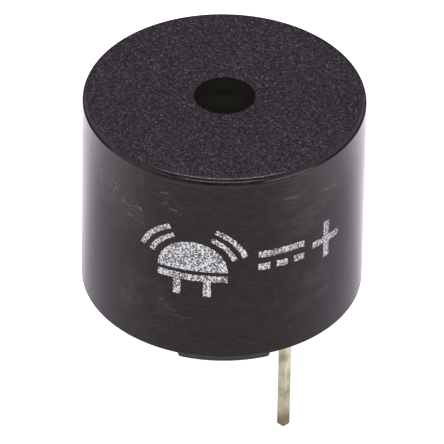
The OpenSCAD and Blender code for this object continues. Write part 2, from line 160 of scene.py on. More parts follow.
# The direction that the camera looks from: round the axis from -Y, and above the floor
AZIMUTH = math.radians(43.35)
ELEVATION = math.radians(37.4)

# Where the marks stand, round the axis from +X. The plus sign stands at +X, over the long pin
MARK_TURN = AZIMUTH - math.radians(90 + 12)
SUPPLY_TURN = AZIMUTH - math.radians(90 - 25)


def direction(azimuth, elevation):
    """Unit vector from the object towards a place round it and above it."""
    return Vector((
        math.sin(azimuth) * math.cos(elevation),
        -math.cos(azimuth) * math.cos(elevation),
        math.sin(elevation),
    ))


UP = Vector((0, 0, 1))
FRONT = direction(AZIMUTH, 0)
CAMERA_RIGHT = direction(AZIMUTH + math.pi / 2, 0)

# The middle between the two boards that a gloss sees
BOARDS_FACE = direction(AZIMUTH - math.radians(10), 0)


# ------------------------------------------------------------------ modelling helpers

def put_down():
    """Leaves edit mode with nothing selected."""
    if bpy.context.object and bpy.context.object.mode == "EDIT":
        bpy.ops.object.mode_set(mode="OBJECT")
    bpy.ops.object.select_all(action="DESELECT")


def take(piece):
    """Selects one piece and makes it the active one."""
    put_down()
    piece.select_set(True)
    bpy.context.view_layer.objects.active = piece


def named(name):
    """Names the primitive that was just added and puts its place into its mesh."""
    piece = bpy.context.object
    piece.name = name
    piece.data.name = name
    bpy.ops.object.transform_apply(location=True, rotation=True, scale=True)
    return piece


def edit_all(piece):
    """Opens a piece in edit mode with everything selected."""
    take(piece)
    bpy.ops.object.mode_set(mode="EDIT")
    bpy.ops.mesh.select_all(action="SELECT")


def select_edges(piece, wanted):
    """In edit mode, selects the edges that pass a test on their two ends."""
    bpy.ops.mesh.select_mode(type="EDGE")
    bpy.ops.mesh.select_all(action="DESELECT")
    mesh = bmesh.from_edit_mesh(piece.data)
    for edge in mesh.edges:
        if wanted(edge.verts[0].co, edge.verts[1].co):
            edge.select_set(True)
    bmesh.update_edit_mesh(piece.data)


def tidy_mesh(piece):
    """Merges doubles and points every face outwards."""
    edit_all(piece)
    bpy.ops.mesh.remove_doubles(threshold=SAME)
    bpy.ops.mesh.normals_make_consistent(inside=False)
    put_down()


def smooth(piece, angle=35):
    """Smooth shading up to an angle, with the large faces kept flat."""
    take(piece)
    bpy.ops.object.shade_smooth_by_angle(angle=math.radians(angle))
    weighted = piece.modifiers.new("flat_faces", "WEIGHTED_NORMAL")
    weighted.keep_sharp = True
    bpy.ops.object.modifier_apply(modifier=weighted.name)
    put_down()


def cut(piece, tool, operation, crossing=False):
    """Joins, cuts or trims a piece with another, which is used up and whose parts may cross."""
    take(piece)
    change = piece.modifiers.new("cut", "BOOLEAN")
    change.operation = operation
    change.solver = "EXACT"
    change.use_self = crossing
    change.object = tool
    bpy.ops.object.modifier_apply(modifier=change.name)
    bpy.data.objects.remove(tool)
    put_down()


def joined(pieces):
    """Joins some pieces into the first of them."""
    put_down()
    for piece in pieces:
        piece.select_set(True)
    bpy.context.view_layer.objects.active = pieces[0]
    if len(pieces) > 1:
        bpy.ops.object.join()
    return pieces[0]


def flat_face(name, corners):
    """One face with these corners, shaped from a circle and left open in edit mode."""
    put_down()
    bpy.ops.mesh.primitive_circle_add(vertices=len(corners), radius=MM, fill_type="NGON")
    face = named(name)
    for point, corner in zip(face.data.vertices, corners):
        point.co = corner
    edit_all(face)
    return face


def drawn(name, section, steps, turn, closed):
    """A stack of rings, each drawn out of the one before, from corner to corner of a section.

    A closed section comes back to its first corner. An open one has its two ends filled."""
    radius, height = section[0]
    put_down()
    bpy.ops.mesh.primitive_circle_add(
        vertices=steps, radius=radius, fill_type="NOTHING",
        location=(0, 0, height), rotation=(0, 0, turn),
    )
    piece = named(name)
    edit_all(piece)
    for next_radius, next_height in section[1:] + (section[:1] if closed else []):
        bpy.ops.mesh.extrude_region_move(
            TRANSFORM_OT_translate={"value": (0, 0, next_height - height)}
        )
        scale = next_radius / radius
        bpy.ops.transform.resize(value=(scale, scale, 1), center_override=(0, 0, 0))
        radius, height = next_radius, next_height
    if not closed:
        bpy.ops.mesh.select_all(action="SELECT")
        bpy.ops.mesh.fill_holes(sides=0)
    tidy_mesh(piece)
    return piece


def turned(name, section, steps, closed=True):
    """A round piece, turned on the axis: the section gives radius and height."""
    return drawn(name, section, steps, 0, closed)


def squared(name, section):
    """A square piece on the axis: the section gives half its width and its height."""
    corners = [(half_width * math.sqrt(2), height) for half_width, height in section]
    return drawn(name, corners, 4, math.radians(45), False)


def moved(piece, offset):
    """Moves a piece, in its mesh."""
    edit_all(piece)
    bpy.ops.transform.translate(value=offset)
    put_down()
    return piece


def turned_by(piece, angle):
    """Turns a piece about the axis, in its mesh."""
    piece.data.transform(Matrix.Rotation(angle, 4, "Z"))
    return piece


def arc(centre_r, centre_z, radius, start, end, steps):
    """Points of a round in a section, from one direction to another, in degrees."""
    points = []
    for step in range(steps + 1):
        turn = math.radians(start + (end - start) * step / steps)
        points.append((centre_r + radius * math.cos(turn), centre_z + radius * math.sin(turn)))
    return points


def rounded(corner_r, corner_z, radius, inwards, start, end, steps):
    """A rounded corner of a section, whose middle lies inwards of the corner by its radius."""
    centre_r = corner_r + inwards[0] * radius
    centre_z = corner_z + inwards[1] * radius
    return arc(centre_r, centre_z, radius, start, end, steps)


def swept(name, outline, start, span, steps):
    """A block swept round the axis: its outline gives radius and height, corner after corner.

    Spin turns clockwise as seen from above, so the outline is placed at the far end."""
    cosine = math.cos(start + span)
    sine = math.sin(start + span)
    piece = flat_face(name, [(radius * cosine, radius * sine, z) for radius, z in outline])
    bpy.ops.mesh.spin(
        steps=steps, angle=span, center=(0, 0, 0), axis=(0, 0, 1), use_auto_merge=False
    )
    bpy.ops.mesh.select_all(action="SELECT")
    bpy.ops.mesh.fill_holes(sides=0)
    tidy_mesh(piece)
    return piece


# ------------------------------------------------------------------ the pieces that show

def make_case():
    """The moulded case, from the round of its top edge through all its steps inside."""
    section = (
        rounded(CASE_R, TOP_Z, TOP_ROUND, (-1, -1), 0, 90, steps=12)
        + rounded(HOLE_R, TOP_Z, HOLE_ROUND, (1, -1), 90, 180, steps=6)
        + [(HOLE_R, CEILING_Z)]
        + rounded(CHAMBER_R, CEILING_Z, CHAMBER_FILLET, (-1, -1), 90, 0, steps=6)
        + [
            (CHAMBER_R, SHOULDER_Z),
            (BORE_R, SHOULDER_Z),
            (BORE_R, LEDGE_Z),
            (REBATE_R, LEDGE_Z),
            (REBATE_R, RIM_Z),
        ]
        + rounded(CASE_R, RIM_Z, RIM_ROUND, (-1, 1), 270, 360, steps=5)
    )
    case = turned("case_shell", section, FINE)
    smooth(case)
    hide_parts("case")
    return case


def from_foot(point):
    """The angle from the middle of the nearest foot to a point."""
    angle = math.atan2(point.y, point.x)
    return min((math.remainder(angle - foot, 2 * math.pi) for foot in FOOT_ANGLES), key=abs)


def draw_feet(base):
    """Draws the feet down out of the rim of the underside, tapers them and rounds their ends.

    They are drawn down by any distance and then flattened onto height 0, where the board lies."""
    edit_all(base)
    bpy.ops.mesh.select_mode(type="FACE")
    bpy.ops.mesh.select_all(action="DESELECT")
    mesh = bmesh.from_edit_mesh(base.data)
    for face in mesh.faces:
        middle = face.calc_center_median()
        at_rim = middle.xy.length > FLANGE_R - FOOT_W and middle.z < UNDERSIDE_Z + GROOVE * 0.9
        if at_rim and abs(from_foot(middle)) < FOOT_SPAN / 2:
            face.select_set(True)
    bmesh.update_edit_mesh(base.data)
    bpy.ops.mesh.extrude_region_move(TRANSFORM_OT_translate={"value": (0, 0, -UNDERSIDE_Z / 2)})
    bpy.ops.transform.resize(value=(1, 1, 0), center_override=(0, 0, 0))
    mesh = bmesh.from_edit_mesh(base.data)
    for point in mesh.verts:
        if point.select:
            turn = -from_foot(point.co) * FOOT_TAPER / (FOOT_SPAN / 2)
            point.co.rotate(Matrix.Rotation(turn, 3, "Z"))
    bmesh.update_edit_mesh(base.data)
    bpy.ops.mesh.region_to_loop()
    bpy.ops.mesh.bevel(offset=FOOT_ROUND, segments=4, affect="EDGES", clamp_overlap=True)
    put_down()


def make_boss(place):
    """The boss round one pin, with a small fillet at its root and its top inside the floor."""
    end_z = UNDERSIDE_Z - BOSS_H
    end_round = BOSS_FILLET / 2
    section = (
        [(BOSS_R, FLOOR_Z - GATE_DEPTH), (BOSS_R + BOSS_FILLET, UNDERSIDE_Z + BOSS_FILLET)]
        + rounded(BOSS_R, UNDERSIDE_Z, BOSS_FILLET, (1, -1), 100, 180, steps=5)
        + rounded(BOSS_R, end_z, end_round, (-1, 1), 0, -90, steps=4)
    )
    return moved(turned("boss", section, COARSE, closed=False), place)


def make_base():
    """The moulded base: floor, tray, flange, four feet, two bosses and the square pin holes.

    The tool for a hole reaches past both faces of the floor."""
    tray_r = BOARD_HIGH.x - TRAY_WALL
    section = [
        (MIDDLE_R, UNDERSIDE_Z + GATE_DEPTH),
        (GATE_R, UNDERSIDE_Z + GATE_DEPTH),
        (GATE_R, UNDERSIDE_Z),
        (FLANGE_R - FOOT_W, UNDERSIDE_Z),
        (FLANGE_R - GROOVE, UNDERSIDE_Z),
        (FLANGE_R, UNDERSIDE_Z + GROOVE),
        (FLANGE_R, LEDGE_Z),
        (BOARD_HIGH.x, LEDGE_Z),
        (BOARD_HIGH.x, BOARD_LOW.z),
        (tray_r, BOARD_LOW.z),
        (tray_r, FLOOR_Z),
        (MIDDLE_R, FLOOR_Z),
    ]
    base = turned("base_moulding", section, FINE, closed=False)
    draw_feet(base)
    half = PIN_W / 2 + PIN_FIT
    for node in ("positive_pin", "negative_pin"):
        low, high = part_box(node)
        place = ((low.x + high.x) / 2, 0, 0)
        cut(base, make_boss(place), "UNION")
        hole = squared("hole", [(half, -MM), (half, FLOOR_Z + MM)])
        cut(base, moved(hole, place), "DIFFERENCE")
    smooth(base, angle=30)
    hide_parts("base_plate")
    return base


def make_sealant():
    """Resin in the groove round the base, between the feet, with a sunken surface."""
    inner = FLANGE_R - GROOVE
    width = REBATE_R - inner
    surface = []
    for step in range(RESIN_STEPS + 1):
        across = step / RESIN_STEPS
        dip = RESIN_DIP * (1 - (2 * across - 1) ** 2)
        surface.append((inner + width * across, UNDERSIDE_Z + dip))
    outline = surface + [(REBATE_R, UNDERSIDE_Z + GROOVE), (FLANGE_R, UNDERSIDE_Z + GROOVE)]
    gap = math.pi / 2 - FOOT_SPAN
    beads = []
    for quarter in range(4):
        start = FOOT_ANGLE + FOOT_SPAN / 2 + quarter * math.pi / 2
        beads.append(swept("sealant_bead", outline, start, gap, steps=40))
    joined(beads)
    sealant = named("resin_seal")
    smooth(sealant, angle=40)
    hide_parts("edge_sealant")
    return sealant


def make_pin(name, node):
    """A square pin with its collar, a chamfered tip and softened upright edges."""
    low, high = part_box(node)
    pin_x = (low.x + high.x) / 2
    half = PIN_W / 2
    pin = squared(name, [
        (half - PIN_CHAMFER, low.z),
        (half, low.z + PIN_CHAMFER),
        (half, FLOOR_Z),
        (COLLAR_W / 2, FLOOR_Z),
        (COLLAR_W / 2, FLOOR_Z + COLLAR_T),
        (half, FLOOR_Z + COLLAR_T),
        (half, high.z),
    ])
    edit_all(pin)
    select_edges(pin, lambda start, end: abs(start.z - end.z) > PIN_CHAMFER / 2)
    bpy.ops.mesh.bevel(offset=PIN_ROUND, segments=4, affect="EDGES", clamp_overlap=True)
    put_down()
    moved(pin, (pin_x, 0, 0))
    smooth(pin, angle=50)
    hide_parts(node)
    return pin


# ------------------------------------------------------------------ printed marks

def stamp(outline):
    """A block that reaches through the wall of the case at angle 0.

    The outline gives the distance to the right, as seen from outside, and the height."""
    block = flat_face("stamp", [(STAMP_R, right, height) for right, height in outline])
    bpy.ops.mesh.extrude_region_move(TRANSFORM_OT_translate={"value": (STAMP_REACH, 0, 0)})
    tidy_mesh(block)
    return block


def bar(right, height, width, tall):
    """The outline of a bar round its middle."""
    corners = ((-0.5, -0.5), (0.5, -0.5), (0.5, 0.5), (-0.5, 0.5))
    return [(right + width * x, height + tall * z) for x, z in corners]


def bow(radius, start, end):
    """The outline of a bow of sound, from one direction to another."""
    outer = arc(0, DOME_Z, radius + BOW_LINE / 2, start, end, steps=24)
    inner = arc(0, DOME_Z, radius - BOW_LINE / 2, end, start, steps=24)
    return outer + inner


def ragged(outline):
    """An outline with the small steps and bites that a pad leaves on the edge of its ink."""
    points = []
    for (x0, z0), (x1, z1) in zip(outline, outline[1:] + outline[:1]):
        length = math.hypot(x1 - x0, z1 - z0)
        steps = max(1, round(length / RAGGED_STEP))
        for step in range(steps):
            part = step / steps
            points.append((
                x0 + (x1 - x0) * part + RANDOM.uniform(-RAGGED, RAGGED),
                z0 + (z1 - z0) * part + RANDOM.uniform(-RAGGED, RAGGED),
            ))
    return points


def printed(name, outlines, turn):
    """A film of ink on the side of the case, cut to some outlines and turned round to its place."""
    film = swept(name, [
        (CASE_R - INK_SUNK, MARKS_LOW),
        (CASE_R + INK_PROUD, MARKS_LOW),
        (CASE_R + INK_PROUD, MARKS_HIGH),
        (CASE_R - INK_SUNK, MARKS_HIGH),
    ], -MARKS_SPAN / 2, MARKS_SPAN, steps=48)
    stamps = joined([stamp(ragged(outline)) for outline in outlines])
    cut(film, stamps, "INTERSECT", crossing=True)
    return turned_by(film, turn)


def make_buzzer_mark():
    """The general sign for a buzzer: a dome on two leads, with sound on both sides."""
    outlines = [
        arc(0, DOME_Z, DOME_R, 0, 180, steps=36),
        bar(0, DOME_BAR_Z, 2 * DOME_R, MARK_LINE),
    ]
    for right in (-LEAD_X, LEAD_X):
        outlines.append(bar(right, LEAD_Z, MARK_LINE, LEAD_TALL))
    for radius in BOW_RADII:
        for start, end in BOW_ENDS:
            outlines.append(bow(radius, start, end))
    return printed("buzzer_mark", outlines, MARK_TURN)


def make_supply_mark():
    """The general sign for direct current: a bar over three dashes."""
    outlines = [bar(0, SUPPLY_BAR_Z, SUPPLY_BAR_W, MARK_LINE)]
    for right in (-DASH_PITCH, 0, DASH_PITCH):
        outlines.append(bar(right, DASH_Z, DASH_W, MARK_LINE))
    return printed("supply_mark", outlines, SUPPLY_TURN)


def make_plus_mark():
    """The plus sign above the long pin."""
    outlines = [
        bar(0, PLUS_Z, PLUS_W, MARK_LINE),
        bar(0, PLUS_Z + ARM_Z, MARK_LINE, ARM_TALL),
        bar(0, PLUS_Z - ARM_Z, MARK_LINE, ARM_TALL),
    ]
    return printed("plus_mark", outlines, 0)


# ------------------------------------------------------------------ material helpers

def feed(tree, sockets, values):
    """Gives each input its value, or the link that feeds it."""
    for socket, value in zip(sockets, values):
        if isinstance(value, bpy.types.NodeSocket):
            tree.links.new(value, socket)
        elif socket.type == "RGBA":
            socket.default_value = (*value, 1)
        else:
            socket.default_value = value


def feed_named(tree, node, values):
    """Gives some inputs of a node, by their names, each its value or its link."""
    feed(tree, [node.inputs[name] for name in values], values.values())


def calc(tree, operation, *values):
    """One sum, such as SUBTRACT or SQRT."""
    node = tree.nodes.new("ShaderNodeMath")
    node.operation = operation
    feed(tree, node.inputs, values)
    return node.outputs[0]


def times(tree, first, second):
    """Two values multiplied."""
    return calc(tree, "MULTIPLY", first, second)


def plus(tree, first, second):
    """Two values added."""
    return calc(tree, "ADD", first, second)


def off_middle(tree, value, middle):
    """How far a value lies from a middle one, on either side of it."""
    return calc(tree, "ABSOLUTE", calc(tree, "SUBTRACT", value, middle))


def spread(tree, value, low, high, to_low=0.0, to_high=1.0):
    """Eases a value from one range into another, and stops at its ends."""
    node = tree.nodes.new("ShaderNodeMapRange")
    node.interpolation_type = "SMOOTHSTEP"
    feed(tree, node.inputs, (value, low, high, to_low, to_high))
    return node.outputs[0]


def noise(tree, place, scale, detail=2.0, roughness=0.5):
    """Plain noise between 0 and 1, with its middle at 0.5."""
    node = tree.nodes.new("ShaderNodeTexNoise")
    feed_named(tree, node, {
        "Vector": place, "Scale": scale, "Detail": detail, "Roughness": roughness,
    })
    return node.outputs["Fac"]


def mixed(tree, factor, first, second):
    """A colour between two colours."""
    node = tree.nodes.new("ShaderNodeMix")
    node.data_type = "RGBA"
    feed(tree, (node.inputs[0], node.inputs[6], node.inputs[7]), (factor, first, second))
    return node.outputs[2]


def between(tree, factor, first, second):
    """A value between two values."""
    node = tree.nodes.new("ShaderNodeMix")
    node.data_type = "FLOAT"
    feed(tree, (node.inputs[0], node.inputs[2], node.inputs[3]), (factor, first, second))
    return node.outputs[0]


def shaded(tree, colour, shade):
    """A colour made lighter or darker by a value round 1."""
    node = tree.nodes.new("ShaderNodeVectorMath")
    node.operation = "SCALE"
    feed_named(tree, node, {"Vector": colour, "Scale": shade})
    return node.outputs[0]


def stretched(tree, place, scale, turn=(0, 0, 0)):
    """A place turned and stretched, for patterns that run along one direction."""
    node = tree.nodes.new("ShaderNodeMapping")
    feed_named(tree, node, {"Vector": place, "Rotation": turn, "Scale": scale})
    return node.outputs[0]


def apart(tree, vector):
    """The three parts of a vector."""
    node = tree.nodes.new("ShaderNodeSeparateXYZ")
    feed(tree, node.inputs, (vector,))
    return node.outputs


def from_axis(tree, place):
    """Distance of a place from the Z axis."""
    x, y, _ = apart(tree, place)
    squares = plus(tree, times(tree, x, x), times(tree, y, y))
    return calc(tree, "SQRT", squares)


def compared(tree, operation, place, other):
    """One value from two vectors, by an operation such as DISTANCE."""
    node = tree.nodes.new("ShaderNodeVectorMath")
    node.operation = operation
    feed(tree, node.inputs, (place, other))
    return node.outputs["Value"]


def along(tree, place, way):
    """How far a place lies along a direction."""
    return compared(tree, "DOT_PRODUCT", place, way)


def from_point(tree, place, point):
    """Distance of a place from a point."""
    return compared(tree, "DISTANCE", place, point)


def new_group(name, inputs, outputs):
    """An empty node group that takes a place and named values, and puts out named values."""
    tree = bpy.data.node_groups.new(name, "ShaderNodeTree")
    place = tree.interface.new_socket("Place", in_out="INPUT", socket_type="NodeSocketVector")
    place.hide_value = True
    for label, value in inputs:
        socket = tree.interface.new_socket(label, in_out="INPUT", socket_type="NodeSocketFloat")
        socket.default_value = value
    for label in outputs:
        tree.interface.new_socket(label, in_out="OUTPUT", socket_type="NodeSocketFloat")
    return tree, tree.nodes.new("NodeGroupInput").outputs, tree.nodes.new("NodeGroupOutput").inputs


def use(tree, group, place, **values):
    """Places an effect in a material with the material's own values."""
    node = tree.nodes.new("ShaderNodeGroup")
    node.node_tree = group
    feed_named(tree, node, {"Place": place, **values})
    return node.outputs


def new_material(name):
    """A material, its node tree, its shader and the place on the object."""
    material = bpy.data.materials.new(name)
    material.use_nodes = True
    tree = material.node_tree
    place = tree.nodes.new("ShaderNodeTexCoord").outputs["Object"]
    return material, tree, tree.nodes["Principled BSDF"], place


def dress(tree, shader, colour, roughness, relief, depth):
    """Feeds a shader its colour, its roughness and its relief, whose depth is in metres."""
    bump = tree.nodes.new("ShaderNodeBump")
    feed_named(tree, bump, {"Distance": depth, "Height": relief})
    feed_named(tree, shader, {
        "Base Color": colour, "Roughness": roughness, "Normal": bump.outputs[0],
    })


# ------------------------------------------------------------------ effects that materials share

def make_cloud_effect():
    """Slow, soft change over a surface, as a factor round 1."""
    tree, given, result = new_group(
        "cloudy_shade", [("Scale", 500.0), ("Amount", 0.2)], ["Shade"]
    )
    level = calc(tree, "SUBTRACT", noise(tree, given["Place"], given["Scale"], detail=3.0), 0.5)
    swing = times(tree, level, times(tree, given["Amount"], 2.0))
    feed(tree, result, (plus(tree, swing, 1.0),))
    return tree


def make_grain_effect():
    """Fine grain: its height, and a mask of small flecks, which the case and the base paint as
    glints that catch the light.
    """
    tree, given, result = new_group(
        "fine_grain", [("Scale", 8000.0), ("Flecks", 0.3)], ["Height", "Fleck"]
    )
    coarse = noise(tree, given["Place"], given["Scale"], roughness=0.6)
    finer = noise(tree, given["Place"], times(tree, given["Scale"], 2.3), detail=1.0)
    height = plus(tree, coarse, times(tree, finer, 0.5))
    edge = calc(tree, "SUBTRACT", 0.8, times(tree, given["Flecks"], 0.4))
    fleck = spread(tree, finer, edge, plus(tree, edge, 0.08))
    feed(tree, result, (height, fleck))
    return tree


def make_nick_effect():
    """Short nicks in four directions that cross each other."""
    tree, given, result = new_group(
        "short_nicks", [("Length", 3400.0), ("Width", 7000.0), ("Share", 0.2)], ["Mask"]
    )
    scale = tree.nodes.new("ShaderNodeCombineXYZ")
    feed(tree, scale.inputs, (given["Length"], given["Length"], given["Width"]))
    edge = calc(tree, "SUBTRACT", 0.78, times(tree, given["Share"], 0.3))
    mask = 0.0
    for tilt in ((0.1, 0.1, 0), (0.9, -0.3, 0), (-0.4, 0.9, 0), (-0.8, -0.6, 0)):
        run = stretched(tree, given["Place"], scale.outputs[0], tilt)
        nicks = noise(tree, run, 1.0, detail=1.0)
        nicks = spread(tree, nicks, edge, plus(tree, edge, 0.17))
        mask = calc(tree, "MAXIMUM", mask, nicks)
    feed(tree, result, (mask,))
    return tree


CLOUD = make_cloud_effect()
GRAIN = make_grain_effect()
NICKS = make_nick_effect()


# ------------------------------------------------------------------ colours, in linear light

SIDE_BLACK = (0.0012, 0.0004, 0.0002)
SMUDGE = (0.0230, 0.0172, 0.0190)
# Painted shade in the pits and painted light on the peaks of the top's grain
TOP_PIT_SHADE = (0.0018, 0.0004, 0.0024)
TOP_PEAK_LIT = (0.0277, 0.0167, 0.0277)
# Painted glints on the grain of the top
GLINT_GREY = (0.15, 0.145, 0.165)
# Haze in the scuffs; the same grey is painted as a highlight line under the top edge and as glints
# on the base
HAZE_AND_HIGHLIGHT = (0.045, 0.040, 0.044)
SCRATCH_GREY = (0.13, 0.125, 0.125)
SPECULAR_TINT = (1.0, 0.97, 0.96)
# Inside the case: a black painted lighter than the side, as painted light in the sound hole
INNER_PAINTED_LIGHT = (0.0185, 0.018, 0.0135)
BASE_BLACK = (0.0105, 0.0088, 0.0066)
RESIN_BLACK = (0.016, 0.012, 0.009)
INK_WHITE = (0.68, 0.67, 0.71)
INK_THIN = (0.085, 0.079, 0.088)
# Brown towards the pin's tip: tarnish and painted shade of the shadow under the pin
TARNISH_AND_SHADE = (0.20, 0.163, 0.092)

# A light and a dark tone of each metal
LIGHT_TIN = (0.69, 0.69, 0.465)
DARK_TIN = (0.38, 0.38, 0.235)
LIGHT_SOLDER = (0.66, 0.66, 0.66)
DARK_SOLDER = (0.46, 0.47, 0.48)
LIGHT_IRON = (0.58, 0.58, 0.59)
DARK_IRON = (0.38, 0.38, 0.40)
LIGHT_COPPER = (0.86, 0.42, 0.22)
DARK_COPPER = (0.60, 0.26, 0.13)
# The diaphragm's steel is painted much darker than bare steel: painted shade inside the case
LIGHT_SHADED_STEEL = (0.135, 0.125, 0.105)
DARK_SHADED_STEEL = (0.115, 0.107, 0.088)
LIGHT_BLACKENED = (0.030, 0.029, 0.030)
DARK_BLACKENED = (0.026, 0.025, 0.026)


# ------------------------------------------------------------------ materials of the outside

# Round patches of the side: degrees to the right of the camera's direction, height and reach in
# millimetres, and strength. Scuffs are nicked, and smudges have a faint film from handling.
SCUFFS = [
    (-66, 8.7, 0.6, 0.9),
    (-59, 7.9, 0.9, 1.0),
    (-49, 7.9, 0.9, 0.95),
    (-44, 7.6, 0.8, 0.85),
    (-38, 7.3, 1.1, 1.0),
    (-34, 9.0, 0.5, 0.7),
    (-24, 8.5, 0.9, 0.65),
    (-17, 8.0, 0.7, 0.55),
    (24, 7.9, 0.5, 0.5),
    (-24, 2.9, 0.7, 0.8),
]
SMUDGES = [
    (-50, 7.4, 2.6, 1.0),
    (-37, 2.9, 2.2, 1.0),
    (38, 7.6, 2.8, 0.8),
    (44, 3.0, 2.8, 0.8),
]

# Long scratches: degrees to the right, height and half their length in millimetres, their tilt in
# degrees, and strength
SCRATCHES = [
    (28.5, 8.47, 0.45, -5, 1.0),
    (48.0, 8.10, 0.60, -8, 1.0),
    (-24.0, 8.78, 0.25, 2, 1.0),
    (-20.0, 8.00, 0.25, -8, 1.0),
    (-21.0, 2.75, 0.40, -14, 0.35),
    (-16.0, 2.45, 0.45, -7, 0.4),
    (-38.0, 3.40, 0.35, -25, 0.35),
]

SCRATCH_W = 0.035 * MM

# A faint lighter line painted round the side, under the round of the top edge: a painted highlight
PAINTED_LINE_Z = TOP_Z - TOP_ROUND - 0.07 * MM
PAINTED_LINE_W = 0.05 * MM

# The grain of the top begins between two heights, and the plain inside between two radii
GRAIN_LOW = TOP_Z - 0.16 * MM
GRAIN_HIGH = TOP_Z - 0.08 * MM
INNER_R = CASE_R - 0.25 * MM
OUTER_R = CASE_R - 0.2 * MM


def side_point(right, height):
    """A point of the side, from degrees to the right and millimetres of height."""
    return direction(AZIMUTH + math.radians(right), 0) * CASE_R + UP * height * MM


def patched(tree, place, patches):
    """How much a place lies in one of some round patches of the side."""
    level = 0.0
    for right, height, reach, strength in patches:
        away = from_point(tree, place, side_point(right, height))
        patch = spread(tree, away, reach * MM, reach * MM * 0.2, 0.0, strength)
        level = calc(tree, "MAXIMUM", level, patch)
    return level


def scratched(tree, place):
    """Thin scratches that run almost level. The high ones come again on the far side."""
    level = 0.0
    for right, height, half_length, tilt, strength in SCRATCHES:
        centre = side_point(right, height)
        run = direction(AZIMUTH + math.radians(right + 90), math.radians(tilt))
        across = direction(AZIMUTH + math.radians(right - 90), math.radians(90 - tilt))
        beside = off_middle(tree, along(tree, place, across), centre.dot(across))
        line = spread(tree, beside, SCRATCH_W, 0.01 * MM, 0, strength)
        beyond = off_middle(tree, along(tree, place, run), centre.dot(run))
        line = times(tree, line, spread(tree, beyond, half_length * MM, half_length * MM / 2))
        facing = spread(tree, along(tree, place, centre.normalized()), 0, MM)
        level = calc(tree, "MAXIMUM", level, times(tree, line, facing))
    return level


def side_of_case(tree, place):
    """Colour, roughness and height of the satin side, with its handling marks.

    Nicks and haze gather in the scuffed patches, and each long scratch has its own place. The
    film is fine level streaks all over, with broad blots in the smudges. A faint lighter line
    under the round of the top edge is a painted highlight."""
    cloud = use(tree, CLOUD, place, Scale=260.0, Amount=0.25)["Shade"]
    grain = use(tree, GRAIN, place, Scale=5200.0, Flecks=0.1)
    scuffs = patched(tree, place, SCUFFS)
    share = plus(tree, times(tree, scuffs, 0.6), 0.05)
    marks = use(tree, NICKS, place, Share=share)["Mask"]
    marks = calc(tree, "MAXIMUM", marks, scratched(tree, place))
    haze = spread(tree, noise(tree, place, 1500.0, detail=3.0), 0.45, 0.75)
    haze = times(tree, scuffs, haze)
    run = stretched(tree, place, (0.45, 0.45, 1.8))
    streaks = spread(tree, noise(tree, run, 5200.0, detail=3.0, roughness=0.75), 0.30, 0.70)
    run = stretched(tree, place, (1.0, 1.0, 1.5))
    blots = spread(tree, noise(tree, run, 900.0, detail=5.0, roughness=0.7), 0.42, 0.66)
    smudges = times(tree, patched(tree, place, SMUDGES), blots)
    film = plus(tree, times(tree, streaks, 0.55), smudges)
    painted_line = spread(tree, off_middle(tree, apart(tree, place)[2], PAINTED_LINE_Z), PAINTED_LINE_W, 0.01 * MM)
    colour = mixed(tree, film, shaded(tree, SIDE_BLACK, cloud), SMUDGE)
    # Painted highlight: a faint lighter line round the side, under the round of the top edge
    colour = mixed(tree, times(tree, painted_line, 0.3), colour, HAZE_AND_HIGHLIGHT)
    colour = mixed(tree, times(tree, haze, 0.3), colour, HAZE_AND_HIGHLIGHT)
    colour = mixed(tree, times(tree, marks, 0.6), colour, SCRATCH_GREY)
    roughness = plus(tree, times(tree, marks, 0.2), 0.19)
    roughness = plus(tree, times(tree, haze, 0.12), roughness)
    return colour, roughness, times(tree, grain["Height"], 0.03)


def top_of_case(tree, place):
    """Colour, roughness and height of the spark-eroded top: its pits are painted darker and its
    peaks lighter, as painted shade and painted light, and its flecks are painted glints.
    """
    cloud = use(tree, CLOUD, place, Scale=420.0, Amount=0.22)["Shade"]
    grain = use(tree, GRAIN, place, Scale=5800.0, Flecks=0.44)
    # Painted shade and light: the grain's low parts are painted darker, its high parts lighter
    lit_peaks = spread(tree, grain["Height"], 0.56, 0.94)
    colour = shaded(tree, mixed(tree, lit_peaks, TOP_PIT_SHADE, TOP_PEAK_LIT), cloud)
    # Painted glints: flecks of the grain painted light grey
    colour = mixed(tree, times(tree, grain["Fleck"], 0.5), colour, GLINT_GREY)
    return colour, 0.55, grain["Height"]


def make_case_plastic():
    """Black moulding: spark-eroded on the flat top, satin and lightly scuffed on the side.

    On the round of the top edge the grain's colour, with its painted shade and glints, reaches a
    little further out than its relief.
    The wall of the sound hole and all inside the case have one plain black, painted lighter than
    the side as painted light in the hole."""
    material, tree, shader, place = new_material("case_plastic")
    radius = from_axis(tree, place)
    height = apart(tree, place)[2]
    level = spread(tree, height, GRAIN_LOW, GRAIN_HIGH)
    tinted = spread(tree, radius, CASE_R - TOP_ROUND * 0.33, CASE_R - TOP_ROUND * 0.5)
    tinted = times(tree, tinted, level)
    grained = spread(tree, radius, CASE_R - TOP_ROUND * 0.66, CASE_R - TOP_ROUND * 0.85)
    grained = times(tree, grained, level)
    within = spread(tree, radius, OUTER_R, INNER_R)
    below = spread(tree, height, TOP_Z - HOLE_ROUND * 0.7, TOP_Z - HOLE_ROUND * 1.5)
    side_colour, side_rough, side_height = side_of_case(tree, place)
    top_colour, top_rough, top_height = top_of_case(tree, place)
    colour = mixed(tree, tinted, side_colour, top_colour)
    # Painted light: the hole's wall and the inside get the lighter inner black
    colour = mixed(tree, times(tree, within, below), colour, INNER_PAINTED_LIGHT)
    roughness = between(tree, grained, side_rough, top_rough)
    relief = between(tree, grained, side_height, top_height)
    dress(tree, shader, colour, roughness, relief, depth=0.06 * MM)
    feed_named(tree, shader, {"Specular IOR Level": 0.3, "Specular Tint": SPECULAR_TINT})
    return material


